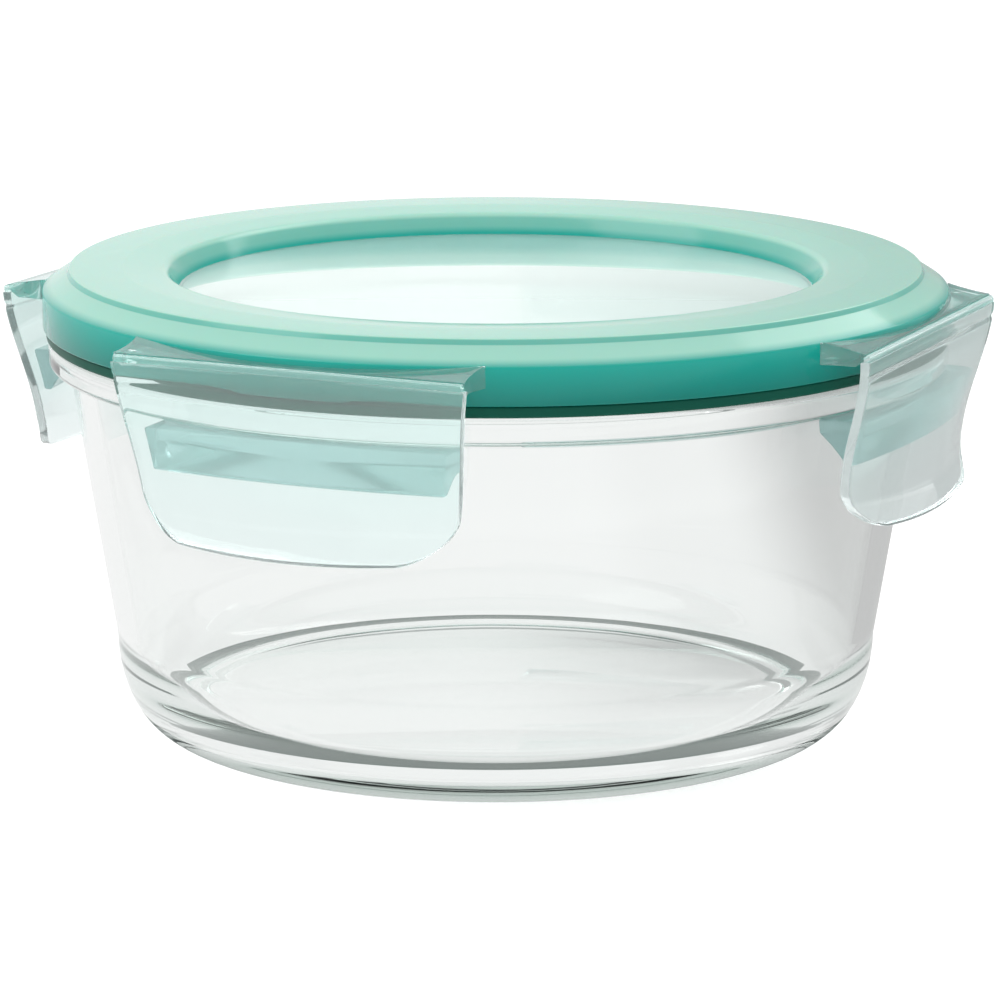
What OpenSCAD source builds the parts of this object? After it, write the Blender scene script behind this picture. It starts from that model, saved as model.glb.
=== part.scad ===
// Round glass food container with a recessed snap lid, a silicone seal and four fold-down latches.
// The bowl stands on z = 0 and is centred on the z axis. Everything is drawn closed.

/* [Bowl] */
// Outer diameter of the bowl's rim flange
flange_d = 163.2; // [150:0.2:196]
// Height of the flange's underside above the table
flange_z = 67.4; // [50:0.2:90]
// Thickness of the flange
flange_t = 4.8; // [4:0.2:6]
// How far the flange stands out past the top of the wall
flange_reach = 3.6; // [3:0.1:5]
// How far the mouth lip stands up above the flange
lip_h = 5.8; // [4:0.2:8]
// Step in from the flange's edge to the lip's outer face
lip_inset = 3.3; // [2.7:0.1:4.5]
// Wall thickness of the glass
glass_t = 4; // [3:0.1:5]
// Thickness of the glass floor
floor_t = 5; // [4:0.1:7]
// Draft of the wall, in degrees from the vertical
wall_draft = 9.1; // [5:0.1:12]
// Radius of the flat ring that the bowl stands on
foot_r = 60; // [50:0.5:62]
// Height of the rounded heel between the foot and the wall
heel_h = 17; // [10:0.5:20]
// How far the underside's middle is raised off the table
base_rise = 0.8; // [0.4:0.1:1.5]

/* [Lid] */
// How far the lid's skirt stands out past the glass flange
skirt_out = 0.9; // [0.6:0.1:2]
// Height of the lid's skirt
skirt_h = 6.6; // [5:0.1:9]
// Wall thickness of the skirt
skirt_t = 2.2; // [1.8:0.1:2.6]
// Rise of the sloping shoulder above the skirt
shoulder_rise = 3.0; // [2.4:0.1:4]
// Width of the sloping shoulder
shoulder_w = 4.5; // [3.5:0.1:6]
// Height of the small riser at the top of the shoulder
riser_h = 1.0; // [0.6:0.1:1.5]
// Width of the ring's flat top
top_w = 9.5; // [8:0.5:14]
// Width of the soft slope inside the flat top
inner_slope_w = 8; // [5:0.5:10]
// Depth of the window below the ring's top
recess_d = 4.3; // [3.5:0.1:6]
// Thickness of the clear window
window_t = 2; // [1.6:0.1:3]
// Thickness of the silicone foot between the skirt and the glass
seal_foot_t = 2.1; // [1.6:0.1:3]

/* [Latches] */
// Distance of the folds from the skirt, at the middle of a latch
fold_gap = 1.5; // [1.3:0.1:3]
// Half width of a latch at its fold
latch_w = 33; // [26:0.5:36]
// Half width of a flap at its lower end
flap_end_w = 28.5; // [22:0.5:32]
// Length of a flap below its fold
flap_l = 32.6; // [30:0.2:38]
// Thickness of a flap
flap_t = 1.65; // [1.4:0.05:2]
// Corner radius at a flap's lower end
flap_corner_r = 9; // [6:0.5:12]
// How far the flap's side edges bend in round the bowl
flap_bow = 3.4; // [2:0.1:4]
// How far the flap's middle leans in
flap_lean = 0.95; // [0.4:0.05:1]
// How far the flap's lower edge flares out
flap_flare = 1.9; // [1:0.1:3]
// Arc of the flap's lower edge
flap_sag = 1.8; // [0.5:0.1:3]
// Radius of the living hinge
web_r = 0.6; // [0.5:0.05:0.7]
// Height of a catch
catch_h = 7.6; // [6:0.2:9]
// Gap between a catch and the glass
catch_gap = 0.35; // [0.3:0.05:0.6]

/* [Hidden] */
$fn = 180;

// Turns of the four latches about z, from the front one at -y
front_turn = 0;
right_turn = 90;
back_turn = 180;
left_turn = 270;

// Heights of the bowl
flange_r = flange_d / 2;
flange_top_z = flange_z + flange_t;
lip_top_z = flange_top_z + lip_h;
lip_r = flange_r - lip_inset;
neck_r = 1.2;
edge_r = 1;
wall_slope = tan(wall_draft);
wall_top_r = flange_r - flange_reach;
foot_land = 4;
foot_ramp = 2;

// Outer and inner radius of the wall at height z
function wall_r(z) = wall_top_r - (flange_z - z) * wall_slope;
function wall_in_r(z) = wall_r(z) - glass_t;

// Heights and radii of the lid
lid_r = flange_r + skirt_out;
skirt_z = flange_top_z + seal_foot_t;
skirt_top_z = skirt_z + skirt_h;
lid_edge_r = 0.8;
shoulder_z = skirt_top_z + shoulder_rise;
lid_top_z = shoulder_z + riser_h;
step_r = lid_r - shoulder_w - 0.5;
flat_r = step_r - top_w;
slope_drop = 0.4;
rim_in_r = flat_r - inner_slope_w;
wall_lean = 2.2;
rim_round = 0.9;
window_r = rim_in_r - wall_lean;
window_z = lid_top_z - recess_d;
window_low_z = window_z - window_t;
ring_t = 2.2;
ring_ceiling_z = lid_top_z - ring_t;
ring_foot_r = rim_in_r + ring_t;
frame_h = 1.6;
frame_w = 5;
channel_r = lid_r - skirt_t;
channel_z = lip_top_z + 1.6;
plug_t = 2;
plug_r = lip_r - 2.9;
plug_gap = 2;
plug_out_r = wall_in_r(lip_top_z) - plug_gap;
plug_low_z = lip_top_z - 2.4;
seal_clear = 0.4;
seal_edge = 0.3;

// The fold and the latch, with "out" measured from the z axis towards the latch
fold_out = lid_r + fold_gap;
fold_z = skirt_top_z - 1.9;
mount_low_z = fold_z - 1.6;
mount_slope = 0.18;
mount_end = fold_out - web_r / 2;
mount_clear = 0.25;
mount_bevel = (flap_t + mount_clear) / 2;
mount_curve_r = 13;
mount_curve_in = 0.75;
web_end_gap = 0.5;
flap_top_z = fold_z - 0.7;
flap_out = fold_out + web_r;
flap_end_z = flap_top_z - flap_l + flap_sag / 2;
waist_z = flap_end_z + 6;
catch_top_z = flange_z - catch_gap;
catch_nose = 2.6;
catch_foot = 1.4;
catch_in_r = wall_r(catch_top_z) + catch_gap + neck_r / 2;

// Points of an elliptical arc about [x, z], from angle a to angle b
function arc(x, z, rx, rz, a, b, n) =
    [for (i = [0 : n]) let (t = a + (b - a) * i / n) [x + rx * cos(t), z + rz * sin(t)]];

// Section of the bowl: underside, heel, wall, flange, lip, and back down the inside
heel_out = wall_r(heel_h) - foot_r;
inner_heel_z = floor_t + heel_h - 2;
inner_foot_r = foot_r - glass_t;
inner_heel = wall_in_r(inner_heel_z) - inner_foot_r;
bowl_section = concat(
    [[0, base_rise], [foot_r - foot_land - foot_ramp, base_rise], [foot_r - foot_land, 0]],
    arc(foot_r, heel_h, heel_out, heel_h, -90, 0, 14),
    [[wall_r(flange_z - neck_r), flange_z - neck_r], [wall_r(flange_z) + neck_r, flange_z]],
    arc(flange_r - edge_r, flange_z + edge_r, edge_r, edge_r, -90, 0, 5),
    arc(flange_r - edge_r, flange_top_z - edge_r, edge_r, edge_r, 0, 90, 5),
    [[lip_r, flange_top_z]],
    arc(lip_r - edge_r, lip_top_z - edge_r, edge_r, edge_r, 0, 90, 5),
    [[wall_in_r(lip_top_z) + edge_r, lip_top_z]],
    [[wall_in_r(lip_top_z - edge_r), lip_top_z - edge_r]],
    arc(inner_foot_r, inner_heel_z, inner_heel, inner_heel_z - floor_t, 0, -90, 14),
    [[0, floor_t]]
);

module glass_bowl() {
    color("azure", 0.35) rotate_extrude() polygon(bowl_section);
}

// Clear window, with a frame under it that is bonded to the ring's foot
module lid_panel() {
    color("honeydew", 0.6) rotate_extrude() polygon([
        [0, window_low_z], [ring_foot_r - frame_w, window_low_z],
        [ring_foot_r - frame_w, window_low_z - frame_h],
        [ring_foot_r, window_low_z - frame_h], [ring_foot_r, window_low_z],
        [window_r, window_low_z], [window_r, window_z], [0, window_z]
    ]);
}

// Ring with its skirt, shoulder, flat top and recess wall, and a plug rib inside the mouth
module lid_ring() {
    color("mediumaquamarine") rotate_extrude() polygon(concat(
        [[channel_r, skirt_z], [lid_r, skirt_z]],
        arc(lid_r - lid_edge_r, skirt_top_z, lid_edge_r, lid_edge_r, 0, 60, 4),
        [[step_r + 0.5, shoulder_z], [step_r, lid_top_z - 0.3], [step_r - 0.3, lid_top_z]],
        [[flat_r, lid_top_z]],
        arc(rim_in_r + rim_round, lid_top_z - slope_drop - rim_round, rim_round, rim_round, 90, 180, 5),
        [[window_r, window_z], [window_r, window_low_z], [ring_foot_r, window_low_z]],
        [[ring_foot_r, ring_ceiling_z], [plug_out_r - plug_t, ring_ceiling_z]],
        [[plug_out_r - plug_t, plug_low_z], [plug_out_r, plug_low_z], [plug_out_r, channel_z]],
        [[channel_r, channel_z]]
    ));
}

// Silicone ring: a band over the mouth, a leg round the lip and a foot on the flange
module seal_gasket() {
    color("seagreen") rotate_extrude() polygon([
        [plug_out_r, lip_top_z], [lip_r + seal_clear, lip_top_z], [lip_r + seal_clear, flange_top_z],
        [flange_r + seal_edge - 0.3, flange_top_z], [flange_r + seal_edge, flange_top_z + 0.3],
        [flange_r + seal_edge, skirt_z], [channel_r, skirt_z], [channel_r, channel_z],
        [plug_out_r, channel_z]
    ]);
}

// Straight bar along a fold with the section "points", given as [out, z]
module bar(points, half) {
    translate([-half, 0, 0]) rotate([90, 0, 90]) linear_extrude(2 * half)
        polygon([for (p = points) [-p[0], p[1]]]);
}

module fold_rod(half) {
    translate([-half, -fold_out, fold_z]) rotate([0, 90, 0]) cylinder(h = 2 * half, r = web_r, $fn = 32);
}

// Clear flange of the lid, from the skirt out to the fold
module latch_mount(turn) {
    inner = lid_r * cos(asin(latch_w / lid_r)) - 2;
    top_end = fold_z + web_r + 0.2;
    color("paleturquoise", 0.6) rotate([0, 0, turn]) difference() {
        bar([
            [inner, mount_low_z], [mount_end - mount_bevel * 2, mount_low_z],
            [mount_end, mount_low_z + mount_bevel * 2], [mount_end, top_end],
            [inner, top_end + (mount_end - inner) * mount_slope]
        ], latch_w);
        cylinder(h = 2 * lid_top_z, r = lid_r);
        fold_rod(latch_w + 1);
        for (side = [-1, 1])
            translate([
                side * (latch_w + mount_curve_r - mount_curve_in),
                -(inner + 2 + mount_end) / 2, 0
            ])
                cylinder(h = 2 * lid_top_z, r = mount_curve_r);
    }
}

// Thin bending strip that joins a mount to its flap
module hinge_web(turn) {
    half = latch_w - web_end_gap;
    color("lightcyan") rotate([0, 0, turn]) union() {
        fold_rod(half);
        bar([
            [fold_out - web_r * 0.6, flap_top_z], [fold_out + web_r * 0.8, flap_top_z],
            [fold_out + web_r * 0.8, fold_z], [fold_out - web_r * 0.6, fold_z]
        ], half);
    }
}

// Rows of the flap's grid: heights from the fold to the end, with the catch's edges among them
catch_low_z = catch_top_z - catch_h;
corner_z = flap_end_z + flap_corner_r;
row_z = concat(
    [flap_top_z, (flap_top_z + catch_top_z) / 2, catch_top_z, catch_top_z - catch_nose, catch_low_z],
    [for (a = [90 : -18 : 0]) corner_z - flap_corner_r * cos(a)]
);
catch_rows = [2, 4];
cols = 20;
catch_cols = [1, 19];

// Half width of the flap at row height z, with the rounded lower corners
function taper_w(z) =
    latch_w + (flap_end_w - latch_w) * (flap_top_z - z) / (flap_top_z - flap_end_z);
function corner_in(z) = z >= corner_z ? 0
    : flap_corner_r - sqrt(max(0, flap_corner_r ^ 2 - (corner_z - z) ^ 2));
function flap_half(z) = taper_w(z) - corner_in(z);

// How far the flap has bent in at height z, from 0 at the fold to 1 at the waist
function bend(z) = let (t = min(1, max(0, (flap_top_z - z) / (flap_top_z - waist_z)))) t * t * (3 - 2 * t);
function flare(z) = flap_flare * max(0, (waist_z - z) / (waist_z - flap_end_z)) ^ 2;

// Distance of the flap's outer face from the z axis, at sideways place s and height z
function flap_face(s, z) =
    flap_out - bend(z) * (flap_lean + flap_bow * (s / flap_end_w) ^ 2) + flare(z);

function sag(s, z) = flap_sag * (s / flap_end_w) ^ 2 * (1 - min(1, max(0, (z - flap_end_z) / flap_corner_r)));

// Point of row i and column j of the grid, set in from the outer face by "depth"
function flap_point(i, j, depth) =
    let (z = row_z[i], s = flap_half(z) * (2 * j / cols - 1))
    [s, -(flap_face(s, z) - depth), z + sag(s, z)];

// Closed solid between two grids of points with the same rows and columns
module slab(front, back) {
    rows = len(front);
    wide = len(front[0]);
    count = rows * wide;
    points = concat([for (r = front) each r], [for (r = back) each r]);
    face = [for (i = [0 : rows - 2], j = [0 : wide - 2]) let (k = i * wide + j)
        each [[k, k + 1, k + wide + 1], [k, k + wide + 1, k + wide]]];
    rear = [for (f = face) [f[2] + count, f[1] + count, f[0] + count]];
    rim = concat(
        [for (j = [0 : wide - 1]) j],
        [for (i = [1 : rows - 1]) i * wide + wide - 1],
        [for (j = [wide - 2 : -1 : 0]) (rows - 1) * wide + j],
        [for (i = [rows - 2 : -1 : 1]) i * wide]
    );
    sides = [for (i = [0 : len(rim) - 1]) let (a = rim[i], b = rim[(i + 1) % len(rim)])
        each [[b, a, a + count], [b, a + count, b + count]]];
    polyhedron(points = points, faces = concat(face, rear, sides), convexity = 6);
}

// Flap that is pulled up to open the lid
module latch_flap(turn) {
    last = len(row_z) - 1;
    color("lightcyan", 0.5) rotate([0, 0, turn]) slab(
        [for (i = [0 : last]) [for (j = [0 : cols]) flap_point(i, j, 0)]],
        [for (i = [0 : last]) [for (j = [0 : cols]) flap_point(i, j, flap_t)]]
    );
}

// How far the catch reaches in from the flap at row i and column j
function catch_nose_point(i, j) =
    let (p = flap_point(i, j, flap_t), tip = -sqrt(catch_in_r ^ 2 - p[0] ^ 2))
    [p[0], i == catch_rows[1] ? p[1] + catch_foot : tip, p[2]];

// Rib that hooks under the glass flange
module latch_catch(turn) {
    rows = [catch_rows[0] : catch_rows[1]];
    span = [catch_cols[0] : catch_cols[1]];
    color("powderblue", 0.7) rotate([0, 0, turn]) slab(
        [for (i = rows) [for (j = span) flap_point(i, j, flap_t)]],
        [for (i = rows) [for (j = span) catch_nose_point(i, j)]]
    );
}

glass_bowl();
lid_panel();
lid_ring();
seal_gasket();
latch_mount(front_turn);  // latch_mount_front
latch_mount(right_turn);  // latch_mount_right
latch_mount(back_turn);  // latch_mount_back
latch_mount(left_turn);  // latch_mount_left
hinge_web(front_turn);  // hinge_web_front
hinge_web(right_turn);  // hinge_web_right
hinge_web(back_turn);  // hinge_web_back
hinge_web(left_turn);  // hinge_web_left
latch_flap(front_turn);  // latch_flap_front
latch_flap(right_turn);  // latch_flap_right
latch_flap(back_turn);  // latch_flap_back
latch_flap(left_turn);  // latch_flap_left
latch_catch(front_turn);  // latch_catch_front
latch_catch(right_turn);  // latch_catch_right
latch_catch(back_turn);  // latch_catch_back
latch_catch(left_turn);  // latch_catch_left
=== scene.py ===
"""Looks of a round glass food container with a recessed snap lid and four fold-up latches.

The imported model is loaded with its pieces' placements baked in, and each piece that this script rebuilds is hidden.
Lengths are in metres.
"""

from __future__ import annotations

import logging
import math
from dataclasses import dataclass, field
from enum import Enum
from typing import Sequence

import bmesh
import bpy
from mathutils import Matrix, Vector


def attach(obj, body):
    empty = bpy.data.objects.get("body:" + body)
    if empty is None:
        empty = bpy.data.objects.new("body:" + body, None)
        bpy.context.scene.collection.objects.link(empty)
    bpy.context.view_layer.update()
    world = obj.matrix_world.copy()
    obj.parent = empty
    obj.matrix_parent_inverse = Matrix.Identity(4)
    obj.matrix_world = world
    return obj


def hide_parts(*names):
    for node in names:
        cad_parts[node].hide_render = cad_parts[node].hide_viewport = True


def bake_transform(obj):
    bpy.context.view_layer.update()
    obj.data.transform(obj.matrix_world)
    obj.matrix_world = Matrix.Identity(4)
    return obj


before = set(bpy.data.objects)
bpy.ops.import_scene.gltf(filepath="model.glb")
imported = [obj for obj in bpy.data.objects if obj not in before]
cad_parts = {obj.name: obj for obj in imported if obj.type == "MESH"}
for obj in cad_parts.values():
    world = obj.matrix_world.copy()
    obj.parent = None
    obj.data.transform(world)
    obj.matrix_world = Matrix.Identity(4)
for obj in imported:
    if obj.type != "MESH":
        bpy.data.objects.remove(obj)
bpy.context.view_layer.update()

MM = 0.001
LOG = logging.getLogger("container")

Point2 = tuple[float, float]
Corner = tuple[float, float, float]
Grid = list[list[Vector]]
Colour = tuple[float, float, float]


class Side(Enum):
    """The four latches, by their turn about the z axis from the front one, in degrees."""

    FRONT = 0
    RIGHT = 90
    BACK = 180
    LEFT = 270

    @property
    def word(self) -> str:
        """Lower-case name, as the nodes and bodies use it."""
        return self.name.lower()

    @property
    def angle(self) -> float:
        """Turn in radians."""
        return math.radians(self.value)

    def place(self, sideways: float, out: float, z: float) -> Vector:
        """Turns a place given for this latch into one in the frame.

        Args:
            sideways: distance along the fold, from its middle.
            out: distance from the z axis towards the latch.
            z: height.

        Returns:
            The place in the frame.
        """
        return Matrix.Rotation(self.angle, 3, "Z") @ Vector((sideways, -out, z))


# ---------------------------------------------------------------- outlines and meshes


def arc(x: float, z: float, rx: float, rz: float, start: float, end: float, steps: int) -> list[Point2]:
    """Points of an elliptical arc.

    Args:
        x: centre, outwards.
        z: centre, upwards.
        rx: outward half axis.
        rz: upward half axis.
        start: first angle, in degrees from outwards, turning upwards.
        end: last angle.
        steps: number of chords.

    Returns:
        The points, first to last.
    """
    turns = [math.radians(start + (end - start) * i / steps) for i in range(steps + 1)]
    return [(x + rx * math.cos(t), z + rz * math.sin(t)) for t in turns]


def rounded(corners: Sequence[Corner], steps: int = 6) -> list[Point2]:
    """Rounds the corners of an open outline.

    Args:
        corners: (x, z, radius) for each corner; the ends and sharp corners have radius 0.
        steps: chords in each rounded corner.

    Returns:
        The outline's points.
    """
    points: list[Point2] = []
    for i, (x, z, radius) in enumerate(corners):
        if radius == 0 or i in (0, len(corners) - 1):
            points.append((x, z))
            continue
        here = Vector((x, z))
        back = (Vector(corners[i - 1][:2]) - here).normalized()
        ahead = (Vector(corners[i + 1][:2]) - here).normalized()
        half = back.angle(ahead) / 2
        cut = radius / math.tan(half)
        centre = here + (back + ahead).normalized() * (radius / math.sin(half))
        first, last = here + back * cut - centre, here + ahead * cut - centre
        sweep = first.angle_signed(last)
        for k in range(steps + 1):
            at = centre + Matrix.Rotation(-sweep * k / steps, 2) @ first
            points.append((at.x, at.y))
    return points


def mesh_object(name: str, mesh: bpy.types.Mesh) -> bpy.types.Object:
    """Links a new object that shows a mesh."""
    made = bpy.data.objects.new(name, mesh)
    bpy.context.scene.collection.objects.link(made)
    return made


def profile_object(name: str, points: Sequence[Point2], closed: bool) -> bpy.types.Object:
    """Makes a chain of edges in the x-z plane, for the lathe to turn.

    Args:
        name: the piece's name.
        points: the outline, as distances from the axis and heights.
        closed: whether the last point joins the first.

    Returns:
        The object that holds the chain.
    """
    count = len(points)
    edges = [(i, (i + 1) % count) for i in range(count if closed else count - 1)]
    mesh = bpy.data.meshes.new(name)
    mesh.from_pydata([(x, 0.0, z) for x, z in points], edges, [])
    return mesh_object(name, mesh)


def slab(name: str, front: Grid, back: Grid) -> bpy.types.Object:
    """Makes a closed solid between two grids of points.

    Args:
        name: the piece's name.
        front: rows of points of one face.
        back: the same rows and columns on the other face.

    Returns:
        The new object, with its faces pointing out.
    """
    form = bmesh.new()
    rows, cols = len(front), len(front[0])
    near = [[form.verts.new(p) for p in row] for row in front]
    far = [[form.verts.new(p) for p in row] for row in back]
    for i in range(rows - 1):
        for j in range(cols - 1):
            form.faces.new((near[i][j], near[i][j + 1], near[i + 1][j + 1], near[i + 1][j]))
            form.faces.new((far[i][j], far[i + 1][j], far[i + 1][j + 1], far[i][j + 1]))
    border = [(0, j) for j in range(cols)] + [(i, cols - 1) for i in range(1, rows)]
    border += [(rows - 1, j) for j in range(cols - 2, -1, -1)] + [(i, 0) for i in range(rows - 2, 0, -1)]
    for (i, j), (k, m) in zip(border, border[1:] + border[:1]):
        form.faces.new((near[k][m], near[i][j], far[i][j], far[k][m]))
    bmesh.ops.recalc_face_normals(form, faces=form.faces)
    mesh = bpy.data.meshes.new(name)
    form.to_mesh(mesh)
    form.free()
    return mesh_object(name, mesh)


def settle(obj: bpy.types.Object, smooth_below: float = 38.0) -> bpy.types.Object:
    """Turns an object's modifiers into plain mesh and shades it smooth but for its sharp edges.

    Args:
        obj: the object, which keeps its name.
        smooth_below: edges with faces at a larger angle than this stay sharp, in degrees.

    Returns:
        The same object.
    """
    graph = bpy.context.evaluated_depsgraph_get()
    graph.update()
    mesh = bpy.data.meshes.new_from_object(obj.evaluated_get(graph), depsgraph=graph)
    obj.modifiers.clear()
    old, obj.data = obj.data, mesh
    bpy.data.meshes.remove(old)
    mesh.name = obj.name
    mesh.shade_smooth()
    mesh.set_sharp_from_angle(angle=math.radians(smooth_below))
    return obj


def soften(obj: bpy.types.Object, width: float, segments: int = 3, angle: float = 35.0) -> bpy.types.Object:
    """Adds a bevel to every edge sharper than an angle, and settles it."""
    bevel = obj.modifiers.new("soft edges", "BEVEL")
    bevel.width, bevel.segments = width, segments
    bevel.limit_method, bevel.angle_limit = "ANGLE", math.radians(angle)
    bevel.harden_normals = False
    return settle(obj)


# ---------------------------------------------------------------- geometry trees


class Tree:
    """A node tree with short ways to add and join nodes."""

    def __init__(self, tree: bpy.types.NodeTree) -> None:
        """Wraps a tree."""
        self.tree = tree

    def add(self, kind: str, at: Point2 = (0, 0), **values: object) -> bpy.types.Node:
        """Adds a node.

        Args:
            kind: the node's type name.
            at: its place in the editor, in columns and rows.
            **values: properties of the node, or values of its inputs with "_" for a space.

        Returns:
            The node.
        """
        made = self.tree.nodes.new(kind)
        made.location = (at[0] * 190, at[1] * -170)
        for key, value in values.items():
            socket = made.inputs.get(key.replace("_", " "))
            if socket is None:
                setattr(made, key, value)
            else:
                socket.default_value = value
        return made

    def join(self, start: bpy.types.NodeSocket, end: bpy.types.NodeSocket) -> None:
        """Links an output to an input."""
        self.tree.links.new(start, end)


def group_sockets(tree: bpy.types.NodeTree, way: str, sockets: dict[str, str]) -> None:
    """Adds named sockets to a group.

    Args:
        tree: the group.
        way: INPUT or OUTPUT.
        sockets: socket type by name.
    """
    for name, kind in sockets.items():
        tree.interface.new_socket(name, in_out=way, socket_type=kind)


def set_input(modifier: bpy.types.NodesModifier, name: str, value: object) -> None:
    """Sets a geometry modifier's input, found by its name, through the socket's identifier."""
    for item in modifier.node_group.interface.items_tree:
        if item.item_type == "SOCKET" and item.in_out == "INPUT" and item.name == name:
            modifier[item.identifier] = value
            return
    raise KeyError(name)


def lathe_tree() -> bpy.types.NodeTree:
    """Builds the tree that turns an outline about the z axis into a closed body."""
    group = bpy.data.node_groups.new("lathe", "GeometryNodeTree")
    geometry, number, whole = "NodeSocketGeometry", "NodeSocketFloat", "NodeSocketInt"
    sizes = {"Path radius": number, "Segments": whole, "Material": "NodeSocketMaterial"}
    group_sockets(group, "INPUT", {"Outline": geometry, **sizes})
    group_sockets(group, "OUTPUT", {"Body": geometry})
    t = Tree(group)
    given = t.add("NodeGroupInput", (0, 0))
    place = t.add("GeometryNodeInputPosition", (0, 2))
    parts = t.add("ShaderNodeSeparateXYZ", (1, 2))
    shift = t.add("ShaderNodeMath", (2, 2), operation="SUBTRACT")
    drop = t.add("ShaderNodeMath", (2, 3), operation="MULTIPLY")
    drop.inputs[1].default_value = -1.0
    flat = t.add("ShaderNodeCombineXYZ", (3, 2))
    lay = t.add("GeometryNodeSetPosition", (4, 0))
    chain = t.add("GeometryNodeMeshToCurve", (5, 0))
    path = t.add("GeometryNodeCurvePrimitiveCircle", (4, 1))
    turn = t.add("GeometryNodeCurveToMesh", (6, 0))
    merge = t.add("GeometryNodeMergeByDistance", (7, 0), Distance=2e-7)
    real = t.add("GeometryNodeRealizeInstances", (8, 0))
    dress = t.add("GeometryNodeSetMaterial", (9, 0))
    out = t.add("NodeGroupOutput", (10, 0))
    t.join(place.outputs[0], parts.inputs[0])
    t.join(parts.outputs["X"], shift.inputs[0])
    t.join(given.outputs["Path radius"], shift.inputs[1])
    t.join(parts.outputs["Z"], drop.inputs[0])
    t.join(shift.outputs[0], flat.inputs["X"])
    t.join(drop.outputs[0], flat.inputs["Y"])
    t.join(given.outputs["Outline"], lay.inputs["Geometry"])
    t.join(flat.outputs[0], lay.inputs["Position"])
    t.join(lay.outputs[0], chain.inputs["Mesh"])
    t.join(given.outputs["Segments"], path.inputs["Resolution"])
    t.join(given.outputs["Path radius"], path.inputs["Radius"])
    t.join(path.outputs["Curve"], turn.inputs["Curve"])
    t.join(chain.outputs[0], turn.inputs["Profile Curve"])
    t.join(turn.outputs[0], merge.inputs["Geometry"])
    t.join(merge.outputs[0], real.inputs[0])
    t.join(real.outputs[0], dress.inputs["Geometry"])
    t.join(given.outputs["Material"], dress.inputs["Material"])
    t.join(dress.outputs[0], out.inputs["Body"])
    return group


def turned_copy_tree() -> bpy.types.NodeTree:
    """Builds the tree that turns a moulding about the z axis to its own side of the lid."""
    group = bpy.data.node_groups.new("turned copy", "GeometryNodeTree")
    group_sockets(
        group,
        "INPUT",
        {"Moulding": "NodeSocketGeometry", "Turn": "NodeSocketFloat", "Material": "NodeSocketMaterial"},
    )
    group_sockets(group, "OUTPUT", {"Copy": "NodeSocketGeometry"})
    t = Tree(group)
    given = t.add("NodeGroupInput", (0, 0))
    angle = t.add("ShaderNodeCombineXYZ", (1, 1))
    turn = t.add("GeometryNodeTransform", (2, 0))
    real = t.add("GeometryNodeRealizeInstances", (3, 0))
    dress = t.add("GeometryNodeSetMaterial", (4, 0))
    out = t.add("NodeGroupOutput", (5, 0))
    t.join(given.outputs["Turn"], angle.inputs["Z"])
    t.join(given.outputs["Moulding"], turn.inputs["Geometry"])
    t.join(angle.outputs[0], turn.inputs["Rotation"])
    t.join(turn.outputs[0], real.inputs[0])
    t.join(real.outputs[0], dress.inputs["Geometry"])
    t.join(given.outputs["Material"], dress.inputs["Material"])
    t.join(dress.outputs[0], out.inputs["Copy"])
    return group


def face_out(obj: bpy.types.Object) -> bpy.types.Object:
    """Makes a closed body's faces point out, once its doubles are merged."""
    form = bmesh.new()
    form.from_mesh(obj.data)
    bmesh.ops.remove_doubles(form, verts=form.verts, dist=1e-7)
    bmesh.ops.recalc_face_normals(form, faces=form.faces)
    form.to_mesh(obj.data)
    form.free()
    return obj


@dataclass(frozen=True)
class Lathe:
    """Turns outlines into bodies."""

    tree: bpy.types.NodeTree
    segments: int = 192
    path_radius: float = 50 * MM

    def turn(
        self, name: str, points: Sequence[Point2], closed: bool, material: bpy.types.Material
    ) -> bpy.types.Object:
        """Turns one outline about the z axis.

        Args:
            name: the piece's name.
            points: the outline.
            closed: whether the outline is a loop; an open one starts and ends on the axis.
            material: the finish.

        Returns:
            The plain mesh object.
        """
        made = profile_object(name, points, closed)
        modifier = made.modifiers.new("lathe", "NODES")
        modifier.node_group = self.tree
        set_input(modifier, "Path radius", self.path_radius)
        set_input(modifier, "Segments", self.segments)
        set_input(modifier, "Material", material)
        return face_out(settle(made))


@dataclass(frozen=True)
class SideCopier:
    """Makes each latch's own copy of a moulding."""

    tree: bpy.types.NodeTree

    def copy(
        self, source: bpy.types.Object, name: str, side: Side, material: bpy.types.Material
    ) -> bpy.types.Object:
        """Copies a moulding that was built for the front and turns it to a side."""
        made = mesh_object(name, source.data.copy())
        modifier = made.modifiers.new("turned copy", "NODES")
        modifier.node_group = self.tree
        set_input(modifier, "Turn", side.angle)
        set_input(modifier, "Material", material)
        return settle(made)


# ---------------------------------------------------------------- shader groups


def shader_group(name: str, inputs: dict[str, str], outputs: dict[str, str]) -> tuple[Tree, bpy.types.Node]:
    """Starts a shader group.

    Args:
        name: the group's name.
        inputs: socket type by name.
        outputs: socket type by name.

    Returns:
        The tree, and its input node.
    """
    group = bpy.data.node_groups.new(name, "ShaderNodeTree")
    group_sockets(group, "INPUT", inputs)
    group_sockets(group, "OUTPUT", outputs)
    t = Tree(group)
    return t, t.add("NodeGroupInput", (0, 0))


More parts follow.
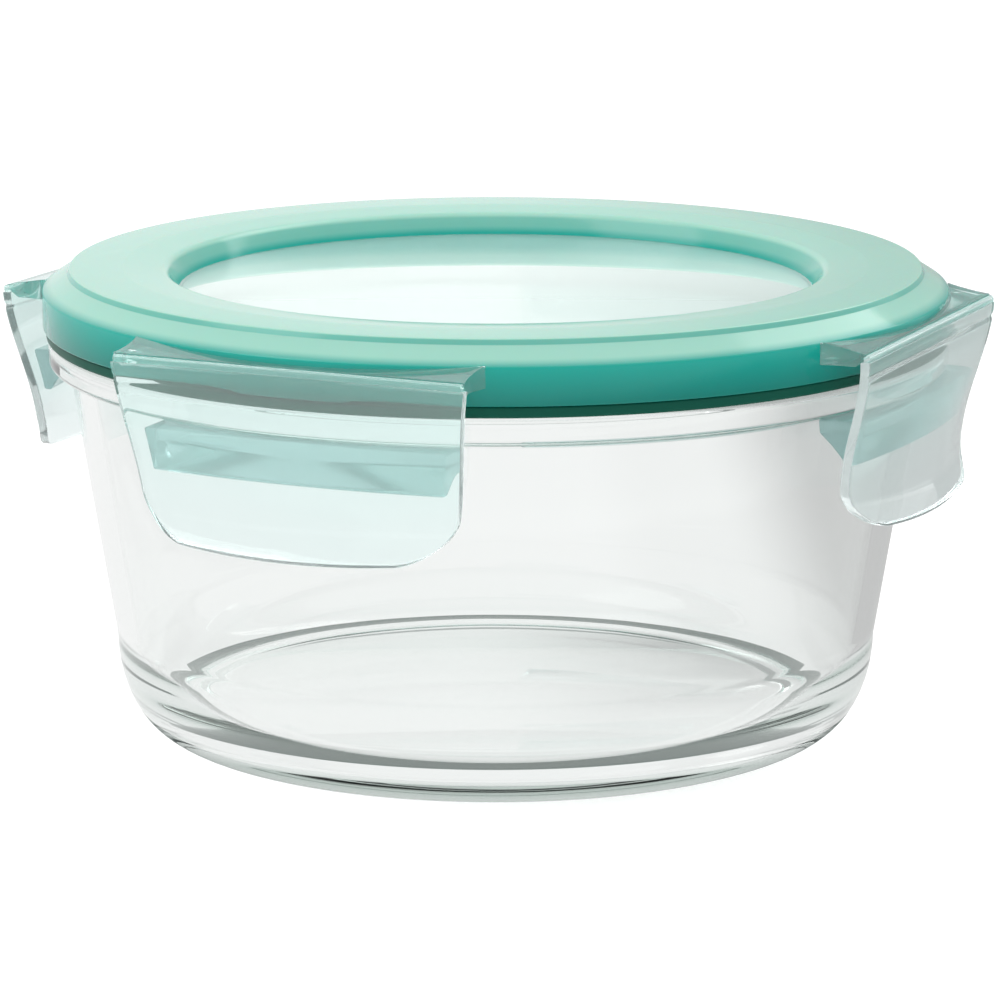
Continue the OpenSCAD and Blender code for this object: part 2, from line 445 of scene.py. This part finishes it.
def handling_group() -> bpy.types.NodeTree:
    """Builds "handling": faint smears and fine dust that make a gloss a little uneven."""
    number = "NodeSocketFloat"
    names = {"Smear scale": number, "Dust scale": number, "Polish": number, "Wear": number}
    t, given = shader_group("handling", names, {"Roughness": number, "Mask": number})
    coords = t.add("ShaderNodeTexCoord", (0, 2))
    smear = t.add("ShaderNodeTexNoise", (1, 1), Detail=5.0, Roughness=0.55, Distortion=1.2)
    dust = t.add("ShaderNodeTexNoise", (1, 2), Detail=2.0, Roughness=0.7)
    smear_mask = t.add("ShaderNodeMapRange", (2, 1), interpolation_type="SMOOTHSTEP")
    smear_mask.inputs["From Min"].default_value, smear_mask.inputs["From Max"].default_value = 0.48, 0.78
    dust_mask = t.add("ShaderNodeMapRange", (2, 2))
    dust_mask.inputs["From Min"].default_value, dust_mask.inputs["From Max"].default_value = 0.62, 0.8
    both = t.add("ShaderNodeMath", (3, 1), operation="MAXIMUM")
    scaled = t.add("ShaderNodeMath", (4, 1), operation="MULTIPLY_ADD")
    out = t.add("NodeGroupOutput", (5, 0))
    for noise, scale in ((smear, "Smear scale"), (dust, "Dust scale")):
        t.join(coords.outputs["Object"], noise.inputs["Vector"])
        t.join(given.outputs[scale], noise.inputs["Scale"])
    t.join(smear.outputs[0], smear_mask.inputs["Value"])
    t.join(dust.outputs[0], dust_mask.inputs["Value"])
    t.join(smear_mask.outputs[0], both.inputs[0])
    t.join(dust_mask.outputs[0], both.inputs[1])
    t.join(both.outputs[0], scaled.inputs[0])
    t.join(given.outputs["Wear"], scaled.inputs[1])
    t.join(given.outputs["Polish"], scaled.inputs[2])
    t.join(scaled.outputs[0], out.inputs["Roughness"])
    t.join(both.outputs[0], out.inputs["Mask"])
    return t.tree


def flow_group() -> bpy.types.NodeTree:
    """Builds "mould flow": the slow ripple that pressing or moulding leaves in a clear surface."""
    number = "NodeSocketFloat"
    t, given = shader_group("mould flow", {"Scale": number, "Rings": number}, {"Height": number})
    coords = t.add("ShaderNodeTexCoord", (0, 2))
    broad = t.add("ShaderNodeTexNoise", (2, 1), Detail=1.5, Roughness=0.4)
    rings = t.add("ShaderNodeTexWave", (2, 2), wave_type="BANDS", bands_direction="Z", Scale=14.0, Distortion=2.5)
    share = t.add("ShaderNodeMath", (3, 2), operation="MULTIPLY")
    total = t.add("ShaderNodeMath", (4, 1), operation="ADD")
    out = t.add("NodeGroupOutput", (5, 0))
    t.join(coords.outputs["Object"], broad.inputs["Vector"])
    t.join(coords.outputs["Object"], rings.inputs["Vector"])
    t.join(given.outputs["Scale"], broad.inputs["Scale"])
    t.join(rings.outputs["Fac"], share.inputs[0])
    t.join(given.outputs["Rings"], share.inputs[1])
    t.join(broad.outputs[0], total.inputs[0])
    t.join(share.outputs[0], total.inputs[1])
    t.join(total.outputs[0], out.inputs["Height"])
    return t.tree


def depth_group() -> bpy.types.NodeTree:
    """Builds "tint and painted shade": deep colour low down, pale colour high up, with slow clouds; as painted shade it
    also pulls upright faces towards the low colour and dulls the low colour further down.
    """
    number, colour = "NodeSocketFloat", "NodeSocketColor"
    names = {"Low": colour, "High": colour}
    names |= {"Bottom": number, "Top": number, "Clouds": number, "Steep faces": number, "Fade from": number}
    t, given = shader_group("tint and painted shade", names, {"Color": colour})
    coords = t.add("ShaderNodeTexCoord", (0, 2))
    parts = t.add("ShaderNodeSeparateXYZ", (1, 2))
    share = t.add("ShaderNodeMapRange", (2, 2), interpolation_type="SMOOTHSTEP")
    noise = t.add("ShaderNodeTexNoise", (1, 3), Scale=28.0, Detail=3.0)
    cloud = t.add("ShaderNodeMath", (2, 3), operation="SUBTRACT")
    cloud.inputs[1].default_value = 0.5
    strength = t.add("ShaderNodeMath", (3, 3), operation="MULTIPLY_ADD")
    mix = t.add("ShaderNodeMix", (4, 1), data_type="RGBA")
    # Painted shade: faces whose normal points little upwards are pulled towards the low colour.
    normal = t.add("ShaderNodeNewGeometry", (0, 4))
    upright = t.add("ShaderNodeSeparateXYZ", (1, 4))
    slope = t.add("ShaderNodeMapRange", (2, 4), interpolation_type="SMOOTHSTEP")
    slope.inputs["From Min"].default_value, slope.inputs["From Max"].default_value = 0.45, 0.8
    keep = t.add("ShaderNodeMath", (3, 4), operation="SUBTRACT")
    keep.inputs[0].default_value = 1.0
    floor = t.add("ShaderNodeMapRange", (4, 4))
    scaled = t.add("ShaderNodeMath", (5, 3), operation="MULTIPLY")
    out = t.add("NodeGroupOutput", (6, 0))
    t.join(normal.outputs["Normal"], upright.inputs[0])
    t.join(upright.outputs["Z"], slope.inputs["Value"])
    t.join(given.outputs["Steep faces"], keep.inputs[1])
    t.join(slope.outputs[0], floor.inputs["Value"])
    t.join(keep.outputs[0], floor.inputs["To Min"])
    t.join(strength.outputs[0], scaled.inputs[0])
    t.join(floor.outputs[0], scaled.inputs[1])
    t.join(scaled.outputs[0], mix.inputs["Factor"])
    t.join(coords.outputs["Object"], parts.inputs[0])
    t.join(coords.outputs["Object"], noise.inputs["Vector"])
    t.join(parts.outputs["Z"], share.inputs["Value"])
    t.join(given.outputs["Bottom"], share.inputs["From Min"])
    t.join(given.outputs["Top"], share.inputs["From Max"])
    t.join(noise.outputs[0], cloud.inputs[0])
    t.join(cloud.outputs[0], strength.inputs[0])
    t.join(given.outputs["Clouds"], strength.inputs[1])
    t.join(share.outputs[0], strength.inputs[2])
    # Painted shade: from the bottom of the range down to a given lower height, the low colour dulls to about half.
    fade = t.add("ShaderNodeMapRange", (3, 5))
    fade.inputs["To Min"].default_value = 0.52
    dull = t.add("ShaderNodeVectorMath", (4, 5), operation="SCALE")
    t.join(parts.outputs["Z"], fade.inputs["Value"])
    t.join(given.outputs["Fade from"], fade.inputs["From Min"])
    t.join(given.outputs["Bottom"], fade.inputs["From Max"])
    t.join(given.outputs["Low"], dull.inputs[0])
    t.join(fade.outputs[0], dull.inputs["Scale"])
    t.join(dull.outputs[0], mix.inputs[6])
    t.join(given.outputs["High"], mix.inputs[7])
    t.join(mix.outputs[2], out.inputs["Color"])
    return t.tree


@dataclass(frozen=True)
class Effects:
    """The shader groups that the finishes share."""

    handling: bpy.types.NodeTree = field(default_factory=handling_group)
    flow: bpy.types.NodeTree = field(default_factory=flow_group)
    tint: bpy.types.NodeTree = field(default_factory=depth_group)

    @staticmethod
    def place(t: Tree, group: bpy.types.NodeTree, at: Point2, values: dict[str, object]) -> bpy.types.Node:
        """Places a group in a material with its own values."""
        made = t.add("ShaderNodeGroup", at, node_tree=group)
        for name, value in values.items():
            made.inputs[name].default_value = value
        return made


def plain(colour: Colour) -> tuple[float, float, float, float]:
    """Adds a full alpha to a colour."""
    return (*colour, 1.0)


@dataclass(frozen=True)
class Finish:
    """One material: a gloss surface over a see-through or a solid body.

    Attributes:
        name: the material's name.
        low: colour at the lowest point of its range.
        high: colour at the highest point.
        span: heights between which the colour changes.
        clearness: share of light that passes through the surface.
        ior: how strongly the body bends light.
        polish: roughness of the clean surface.
        wear: roughness that smears and dust add.
        ripple: height of the mould's ripple.
        clouds: unevenness of the colour.
        body_tint: colour that a thick body takes, or None.
        body_density: how fast a thick body takes it, per metre.
        shadow: colour of the light that lamps send through, or None for a solid shadow.
        scatter: share of light that scatters under the surface.
        steep_shade: painted shade: how much nearer the low colour the upright faces are.
        low_shade_from: painted shade: height at which the low colour is dullest, or a place far below the piece for no
            fade.
        sheen: strength of the mirror-like reflection, 0.5 for a plain surface.
        depth: how many bounces a ray may be trapped in the body before it passes straight out.
    """

    name: str
    low: Colour
    high: Colour
    span: Point2
    clearness: float
    ior: float
    polish: float
    wear: float
    ripple: float
    clouds: float = 0.0
    body_tint: Colour | None = None
    body_density: float = 0.0
    shadow: Colour | None = None
    scatter: float = 0.0
    steep_shade: float = 0.0
    low_shade_from: float = -1.0
    sheen: float = 0.5
    depth: float = 7.0

    def build(self, effects: Effects) -> bpy.types.Material:
        """Builds the material from the shared effects.

        Args:
            effects: the shader groups.

        Returns:
            The material.
        """
        made = bpy.data.materials.new(self.name)
        made.use_nodes = True
        made.node_tree.nodes.clear()
        t = Tree(made.node_tree)
        body = t.add("ShaderNodeBsdfPrincipled", (3, 0))
        body.inputs["IOR"].default_value = self.ior
        body.inputs["Transmission Weight"].default_value = self.clearness
        body.inputs["Specular IOR Level"].default_value = self.sheen
        body.inputs["Subsurface Weight"].default_value = self.scatter
        body.inputs["Subsurface Scale"].default_value = 6 * MM
        tint = effects.place(
            t,
            effects.tint,
            (1, 0),
            {
                "Low": plain(self.low),
                "High": plain(self.high),
                "Bottom": self.span[0],
                "Top": self.span[1],
                "Clouds": self.clouds,
                "Steep faces": self.steep_shade,
                "Fade from": self.low_shade_from,
            },
        )
        t.join(tint.outputs["Color"], body.inputs["Base Color"])
        marks = {"Smear scale": 24.0, "Dust scale": 900.0, "Polish": self.polish, "Wear": self.wear}
        handling = effects.place(t, effects.handling, (1, 1), marks)
        t.join(handling.outputs["Roughness"], body.inputs["Roughness"])
        flow = effects.place(t, effects.flow, (1, 2), {"Scale": 42.0, "Rings": 0.15})
        bump = t.add("ShaderNodeBump", (2, 2), Strength=0.6, Distance=self.ripple)
        t.join(flow.outputs["Height"], bump.inputs["Height"])
        t.join(bump.outputs[0], body.inputs["Normal"])
        out = t.add("ShaderNodeOutputMaterial", (5, 0))
        if self.shadow is None:
            t.join(body.outputs[0], out.inputs["Surface"])
        else:
            path = t.add("ShaderNodeLightPath", (1, -2))
            trapped = t.add("ShaderNodeMath", (2, -2), operation="GREATER_THAN")
            trapped.inputs[1].default_value = self.depth
            lets_by = t.add("ShaderNodeMath", (3, -2), operation="MAXIMUM")
            clear = t.add("ShaderNodeBsdfTransparent", (3, -1), Color=plain(self.shadow))
            mix = t.add("ShaderNodeMixShader", (4, 0))
            t.join(path.outputs["Ray Depth"], trapped.inputs[0])
            t.join(path.outputs["Is Shadow Ray"], lets_by.inputs[0])
            t.join(trapped.outputs[0], lets_by.inputs[1])
            t.join(lets_by.outputs[0], mix.inputs[0])
            t.join(body.outputs[0], mix.inputs[1])
            t.join(clear.outputs[0], mix.inputs[2])
            t.join(mix.outputs[0], out.inputs["Surface"])
        if self.body_tint is not None:
            deep = t.add("ShaderNodeVolumeAbsorption", (4, 2), Color=plain(self.body_tint))
            deep.inputs["Density"].default_value = self.body_density
            t.join(deep.outputs[0], out.inputs["Volume"])
        return made


GLASS = Finish(
    "soda glass", (0.985, 0.995, 0.99), (0.99, 0.997, 0.994), (0.0, 78 * MM), 1.0, 1.5, 0.002, 0.03, 0.05 * MM,
    body_tint=(0.44, 0.55, 0.50), body_density=9.0, shadow=(0.985, 0.992, 0.99), depth=5.0,
)
CLEAR = Finish(
    "clear copolyester", (0.885, 0.965, 0.96), (0.83, 0.98, 0.96), (46 * MM, 80 * MM), 0.925, 1.5, 0.03, 0.08, 0.3 * MM,
    shadow=(0.985, 0.998, 0.995), clouds=0.3, depth=5.0,
)
# Painted shade: the catch rib is the clear plastic again, darker and less clear so that it looks shaded behind the
# flap.
SHADED_CATCH = Finish(
    "copolyester with painted shade", (0.50, 0.69, 0.68), (0.55, 0.74, 0.73), (58 * MM, 68 * MM), 0.7, 1.5, 0.12, 0.1, 0.2 * MM,
    shadow=(0.88, 0.95, 0.94), clouds=0.3,
)
WINDOW = Finish(
    "clear window", (0.80, 0.93, 0.90), (0.86, 0.95, 0.925), (77 * MM, 81 * MM), 0.6, 1.5, 0.02, 0.05, 0.04 * MM,
    shadow=(0.97, 0.99, 0.985),
)
# Painted light and shade on one teal plastic: the pale colour on the ring's top, the deep colour on its skirt, upright
# faces pulled towards the deep colour and the skirt dulled towards its lower edge stand in for light from above and
# shade on the sides.
TEAL = Finish(
    "translucent teal", (0.002, 0.345, 0.285), (0.31, 0.60, 0.50), (80.7 * MM, 82.2 * MM), 0.05, 1.5, 0.12, 0.1,
    0.03 * MM, clouds=0.12, scatter=0.2, steep_shade=0.58, sheen=0.3, low_shade_from=74.3 * MM,
)
SILICONE = Finish(
    "dark silicone", (0.0, 0.07, 0.045), (0.001, 0.085, 0.06), (72 * MM, 80 * MM), 0.0, 1.42, 0.38, 0.15, 0.05 * MM,
    clouds=0.1, scatter=0.05, sheen=0.15,
)


# ---------------------------------------------------------------- sub-assemblies


def metres(points: Sequence[Point2]) -> list[Point2]:
    """Turns outline points from millimetres into metres."""
    return [(x * MM, z * MM) for x, z in points]


@dataclass
class Bowl:
    """Pressed glass bowl: a raised base, a rounded heel, a drafted wall, a flange and a mouth lip."""

    flange_r: float = 81.6
    flange_low: float = 67.4
    flange_top: float = 72.2
    lip_r: float = 78.3
    lip_top: float = 78.0
    wall_top_r: float = 78.0
    slope: float = math.tan(math.radians(9.1))
    glass: float = 4.0

    def wall(self, z: float) -> float:
        """Outer radius of the wall at a height."""
        return self.wall_top_r - (self.flange_low - z) * self.slope

    def outline(self) -> list[Point2]:
        """Section from the middle of the underside round to the middle of the floor."""
        heel_x, inner_x = self.wall(17) - 60, self.wall(20) - self.glass - 56
        low, top, f_r, l_r = self.flange_low, self.flange_top, self.flange_r, self.lip_r
        mouth = self.wall(self.lip_top) - self.glass
        rim = rounded(
            [
                (self.wall(17), 17, 0), (self.wall(low), low, 1.4), (f_r, low, 1.3), (f_r, top, 1.3),
                (l_r, top, 0.5), (l_r, self.lip_top, 1.5), (mouth, self.lip_top, 1.5),
                (self.wall(20) - self.glass, 20, 0),
            ],
            7,
        )
        foot = rounded([(0, 0.8, 0), (54, 0.8, 2), (56, 0, 1.5), (60, 0, 0)], 4)
        heel = arc(60, 17, heel_x, 17, -90, 0, 26)
        hollow = arc(56, 20, inner_x, 15, 0, -90, 26)
        return foot[:-1] + heel[:-1] + rim[:-1] + hollow + [(0, 5)]

    def build(self, lathe: Lathe, material: bpy.types.Material) -> None:
        """Turns the bowl and puts it on its body."""
        bowl = lathe.turn("bowl", metres(self.outline()), False, material)
        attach(bowl, "bowl")
        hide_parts("glass_bowl")
        LOG.info("bowl: %d faces", len(bowl.data.polygons))


@dataclass
class Lid:
    """Lid without its latches: a ring, a window bonded under it, and a seal in its channel."""

    edge_r: float = 82.5
    skirt_low: float = 74.3
    skirt_top: float = 80.9
    shoulder: float = 83.9
    top: float = 84.9
    step_r: float = 77.5
    flat_r: float = 68.0
    rim_r: float = 60.0
    window_r: float = 57.8
    window_z: float = 80.6

    def ring(self) -> list[Point2]:
        """Section of the ring, as a loop."""
        w_low, step = self.window_z - 2, self.step_r
        return rounded(
            [
                (80.3, 77, 0), (80.3, self.skirt_low, 0.3), (self.edge_r, self.skirt_low, 0.35),
                (self.edge_r, self.skirt_top + 0.1, 0.7), (step + 0.5, self.shoulder, 0.35),
                (step, self.top, 0.4), (self.flat_r, self.top, 1.2), (self.rim_r, self.top - 0.5, 1.9),
                (self.window_r, self.window_z, 0.25), (self.window_r, w_low, 0), (62.2, w_low, 0),
                (62.2, 82.7, 0.5), (71.7, 82.7, 0.5), (71.7, 75.6, 0.5), (73.7, 75.6, 0.5), (73.7, 79.6, 0.2),
                (80.3, 79.6, 0.2), (80.3, 77, 0),
            ],
            5,
        )[:-1]

    def window(self) -> list[Point2]:
        """Section of the window and its frame, from the middle below to the middle above."""
        z, r = self.window_z, self.window_r
        return rounded(
            [
                (0, z - 2, 0), (57.2, z - 2, 0.3), (57.2, z - 3.6, 0.3), (62.2, z - 3.6, 0.3), (62.2, z - 2, 0),
                (r, z - 2, 0), (r, z, 0.1), (0, z, 0),
            ],
            4,
        )

    def seal(self) -> list[Point2]:
        """Section of the seal, as a loop."""
        return rounded(
            [
                (76, 78, 0), (78.7, 78, 0.4), (78.7, 72.2, 0.2), (81.9, 72.2, 0.6), (81.9, 74.3, 0.5),
                (80.3, 74.3, 0), (80.3, 79.6, 0.1), (73.7, 79.6, 0.1), (73.7, 78, 0.3), (76, 78, 0),
            ],
            4,
        )[:-1]

    def build(self, lathe: Lathe, finishes: dict[str, bpy.types.Material]) -> None:
        """Turns the lid's three round pieces and puts them on the lid's body."""
        for name, outline, closed, node, finish, slot in (
            ("lid-ring", self.ring(), True, "lid_ring", "teal", "teal_plastic"),
            ("window", self.window(), False, "lid_panel", "window", "clear_plastic"),
            ("seal", self.seal(), True, "seal_gasket", "silicone", "silicone"),
        ):
            piece = lathe.turn(name, metres(outline), closed, finishes[finish])
            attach(piece, "lid")
            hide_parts(node)
            LOG.info("%s: %d faces", name, len(piece.data.polygons))


@dataclass
class Latch:
    """Clear wing, living hinge and fold-up flap, drawn for the front and copied to each side."""

    half: float = 33.0
    end_half: float = 28.5
    top: float = 78.3
    end: float = 46.6
    waist: float = 52.6
    corner: float = 9.0
    thick: float = 1.65
    fold_out: float = 84.0
    fold_z: float = 79.0
    lid_r: float = 82.5
    catch: Point2 = (59.45, 67.05)
    catch_r: float = 78.9
    columns: int = 64

    def flap_half(self, z: float) -> float:
        """Half width at a height, with the rounded lower corners."""
        taper = self.half + (self.end_half - self.half) * (self.top - z) / (self.top - self.end)
        short = max(0.0, self.end + self.corner - z)
        return taper - (self.corner - math.sqrt(max(0.0, self.corner**2 - short**2)))

    def point(self, u: float, z: float, depth: float) -> Vector:
        """Place on the flap.

        Args:
            u: sideways place, from -1 to 1 across the flap.
            z: height before the lower edge's arc.
            depth: distance in from the outer face.

        Returns:
            The place, in metres.
        """
        s = self.flap_half(z) * u
        share = (s / self.end_half) ** 2
        t = min(1.0, max(0.0, (self.top - z) / (self.top - self.waist)))
        out = self.fold_out + 0.6 - t * t * (3 - 2 * t) * (0.95 + 3.4 * share)
        out += 1.9 * max(0.0, (self.waist - z) / (self.waist - self.end)) ** 2
        if depth == 0:
            out -= 0.3 * math.exp(-(((z - 75.9) / 0.45) ** 2))
        drop = 1.8 * share * (1 - min(1.0, max(0.0, (z - self.end) / self.corner)))
        return Side.FRONT.place(s * MM, (out - depth) * MM, (z + drop) * MM)

    def across(self, width: float = 1.0) -> list[float]:
        """Sideways places of the columns."""
        return [width * (2 * j / self.columns - 1) for j in range(self.columns + 1)]

    def flap(self) -> bpy.types.Object:
        """Flap that is pulled up to open the lid."""
        rows = [self.top - (self.top - self.end - self.corner) * i / 60 for i in range(60)]
        rows += [self.end + self.corner * (1 - math.sin(math.radians(6 * i))) for i in range(15)]
        rows.append(self.end + 0.01)
        faces = [[[self.point(u, z, d) for u in self.across()] for z in rows] for d in (0.0, self.thick)]
        return soften(slab("flap moulding", *faces), 0.42 * MM, 4, 50)

    def rib(self) -> bpy.types.Object:
        """Catch rib behind the flap."""
        low, high = self.catch
        rows = [high - (high - low) * i / 12 for i in range(13)]
        root, nose = [], []
        for z in rows:
            root.append([self.point(u, z, self.thick + 0.03) for u in self.across(0.9)])
            line = []
            for u in self.across(0.9):
                back = self.point(u, z, self.thick)
                tip = -math.sqrt((self.catch_r * MM) ** 2 - back.x**2)
                fade = min(1.0, max(0.0, (z - low) / (high - 2.6 - low)))
                line.append(Vector((back.x, (back.y + 1.4 * MM) * (1 - fade) + tip * fade, back.z)))
            nose.append(line)
        return soften(slab("rib", root, nose), 0.4 * MM, 3, 50)

    def wing(self) -> bpy.types.Object:
        """Wing that carries the fold, from the skirt outwards."""
        outer, lid_r, mid = 83.7, self.lid_r, (73.6 + 2 + 83.7) / 2
        upper, lower = [], []
        for i in range(17):
            top, low = [], []
            for u in self.across():
                s = u * self.half
                inner = math.sqrt(lid_r**2 - s * s) - 0.02
                out = inner + (outer - inner) * i / 16
                waist = 13 - 0.75 - math.sqrt(13**2 - (out - mid) ** 2)
                s *= 1 + waist / self.half
                top.append(Side.FRONT.place(s * MM, out * MM, (79.8 + (outer - out) * 0.18) * MM))
                rise = min(1.9, max(0.0, out - outer + 1.9))
                low.append(Side.FRONT.place(s * MM, out * MM, (77.4 + rise * 0.95) * MM))
            upper.append(top)
            lower.append(low)
        return soften(slab("wing moulding", upper, lower), 0.3 * MM, 3, 40)

    def web(self) -> bpy.types.Object:
        """Living hinge along the fold."""
        c, z0, r = self.fold_out, self.fold_z, 0.6
        front = [(c + 0.48, 78.3), (c + 0.56, 78.65)] + arc(c, z0, r, r, 0, 80, 8)
        back = [(c - 0.48, 78.3), (c - 0.56, 78.65)] + arc(c, z0, r, r, 180, 100, 8)
        faces = [
            [[Side.FRONT.place(u * 32.5 * MM, out * MM, z * MM) for u in self.across()] for out, z in line]
            for line in (front, back)
        ]
        return settle(slab("web moulding", *faces), 50)

    def build(self, copier: SideCopier, clear: bpy.types.Material, catch_shade: bpy.types.Material) -> None:
        """Builds the mouldings once and places a copy of each at every side.

        Args:
            copier: makes the turned copies.
            clear: the clear plastic.
            catch_shade: the same plastic, darker and less clear, as painted shade on the catch.
        """
        sources = {"wing": self.wing(), "web": self.web(), "flap": self.flap(), "catch": self.rib()}
        for side in Side:
            body = f"latch_{side.word}"
            wing, web, flap, catch = (
                copier.copy(source, f"{name}-{side.word}", side, catch_shade if name == "catch" else clear)
                for name, source in sources.items()
            )
            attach(wing, "lid")
            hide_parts(f"latch_mount_{side.word}")
            start = side.place(0, 83.4 * MM, 79.6 * MM)
            side.place(0, 84.5 * MM, 78.3 * MM)
            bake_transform(web)
            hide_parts(f"hinge_web_{side.word}")
            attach(flap, body)
            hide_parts(f"latch_flap_{side.word}")
            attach(catch, body)
            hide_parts(f"latch_catch_{side.word}")
            LOG.info("latch %s: %d faces in its flap", side.word, len(flap.data.polygons))
        for source in sources.values():
            bpy.data.objects.remove(source, do_unlink=True)


@dataclass
class Studio:
    """Camera, pale floor, soft lamps and dark cards."""

    place: tuple[float, float, float] = (0.3417, -0.7444, 0.2226)
    tilt: float = 77.45
    turn: float = 24.6
    lens: float = 163.6
    shade: Point2 = (0.0615, 0.0665)

    def camera(self) -> None:
        """Places the camera."""
        data = bpy.data.cameras.new("camera")
        data.lens, data.sensor_width = self.lens, 36.0
        data.clip_start, data.clip_end = 0.01, 50.0
        camera = bpy.data.objects.new("camera", data)
        camera.location = self.place
        camera.rotation_euler = (math.radians(self.tilt), 0.0, math.radians(self.turn))
        bpy.context.scene.collection.objects.link(camera)
        bpy.context.scene.camera = camera

    def card(self, name: str, centre: Corner, size: Point2, fade_at: Point2, tone: float, lean: float) -> None:
        """Places a card, seen only in glass and in gloss, that fades from near white to grey across its width.

        Args:
            name: the card's name.
            centre: its middle.
            size: width and height.
            fade_at: where the fade starts and ends, from -0.5 to 0.5 across the width.
            tone: its grey at the right side.
            lean: 90 for an upright card, 0 for a flat one, in degrees.
        """
        bpy.ops.mesh.primitive_plane_add(size=1.0, location=centre)
        card = bpy.context.object
        card.name = name
        card.scale = (size[0], size[1], 1)
        card.rotation_euler = (math.radians(lean), 0, math.radians(self.turn))
        paint = bpy.data.materials.new(name)
        paint.use_nodes = True
        paint.node_tree.nodes.clear()
        t = Tree(paint.node_tree)
        coords = t.add("ShaderNodeTexCoord", (0, 0))
        parts = t.add("ShaderNodeSeparateXYZ", (1, 0))
        fade = t.add("ShaderNodeMapRange", (2, 0), interpolation_type="SMOOTHSTEP")
        for key, value in {"From Min": fade_at[0], "From Max": fade_at[1], "To Min": 0.95, "To Max": tone}.items():
            fade.inputs[key].default_value = value
        glow = t.add("ShaderNodeEmission", (3, 0))
        out = t.add("ShaderNodeOutputMaterial", (4, 0))
        t.join(coords.outputs["Object"], parts.inputs[0])
        t.join(parts.outputs["X"], fade.inputs["Value"])
        t.join(fade.outputs[0], glow.inputs["Color"])
        t.join(glow.outputs[0], out.inputs["Surface"])
        card.data.materials.append(paint)
        card.visible_shadow = card.visible_diffuse = card.visible_camera = False

    def lamp(self, name: str, place: Corner, size: float, power: float) -> None:
        """Places a soft square lamp that points at the container."""
        data = bpy.data.lights.new(name, "AREA")
        data.size, data.energy = size, power
        lamp = bpy.data.objects.new(name, data)
        lamp.location = place
        lamp.rotation_euler = (Vector((0, 0, 0.05)) - Vector(place)).to_track_quat("-Z", "Y").to_euler()
        bpy.context.scene.collection.objects.link(lamp)

    def contact(self, lathe: Lathe) -> None:
        """Lays a dull ring under the bowl's heel, seen only in glass and in gloss."""
        paint = bpy.data.materials.new("contact shade")
        paint.use_nodes = True
        paint.node_tree.nodes.clear()
        t = Tree(paint.node_tree)
        glow = t.add("ShaderNodeEmission", (0, 0), Color=(0.2, 0.23, 0.22, 1))
        out = t.add("ShaderNodeOutputMaterial", (1, 0))
        t.join(glow.outputs[0], out.inputs["Surface"])
        edge = [(self.shade[0], -0.0002), (self.shade[1], -0.0002)]
        ring = lathe.turn("contact shade", edge, False, paint)
        ring.visible_shadow = ring.visible_diffuse = ring.visible_camera = False

    def build(self, lathe: Lathe) -> None:
        """Builds the studio."""
        scene = bpy.context.scene
        scene.view_settings.view_transform = "Standard"
        scene.cycles.max_bounces = scene.cycles.transmission_bounces = 24
        scene.cycles.transparent_max_bounces = 24
        world = bpy.data.worlds.new("white room")
        world.use_nodes = True
        world.node_tree.nodes["Background"].inputs["Color"].default_value = (1, 1, 1, 1)
        world.node_tree.nodes["Background"].inputs["Strength"].default_value = 1.0
        scene.world = world
        bpy.ops.mesh.primitive_plane_add(size=12, location=(0, 0, -0.0004))
        floor = bpy.context.object
        floor.name = "floor"
        paint = bpy.data.materials.new("white floor")
        paint.use_nodes = True
        body = paint.node_tree.nodes["Principled BSDF"]
        body.inputs["Base Color"].default_value = (0.5, 0.5, 0.5, 1)
        body.inputs["Roughness"].default_value = 0.7
        body.inputs["Emission Color"].default_value = (1, 1, 1, 1)
        body.inputs["Emission Strength"].default_value = 0.55
        floor.data.materials.append(paint)
        self.lamp("key", (-0.7, -0.6, 1.1), 0.8, 5.0)
        self.lamp("back", (0.3, 1.0, 0.9), 0.9, 5.0)
        self.card("backdrop", (-0.146, 0.318, 0.18), (0.9, 0.36), (-0.02, 0.13), 0.5, 90)
        self.card("light table", (-0.104, 0.227, -0.0003), (1.2, 1.1), (0.046, 0.08), 0.58, 0)
        self.contact(lathe)
        self.camera()
        LOG.info("studio ready")


def main() -> None:
    """Builds every sub-assembly in order, then the studio."""
    logging.basicConfig(level=logging.INFO, format="%(name)s: %(message)s")
    effects = Effects()
    finishes = {
        name: finish.build(effects)
        for name, finish in (
            ("glass", GLASS), ("clear", CLEAR), ("catch_shade", SHADED_CATCH), ("window", WINDOW), ("teal", TEAL), ("silicone", SILICONE)
        )
    }
    lathe = Lathe(lathe_tree())
    copier = SideCopier(turned_copy_tree())
    Bowl().build(lathe, finishes["glass"])
    Lid().build(lathe, finishes)
    Latch().build(copier, finishes["clear"], finishes["catch_shade"])
    Studio().build(lathe)


if __name__ == "__main__":
    main()
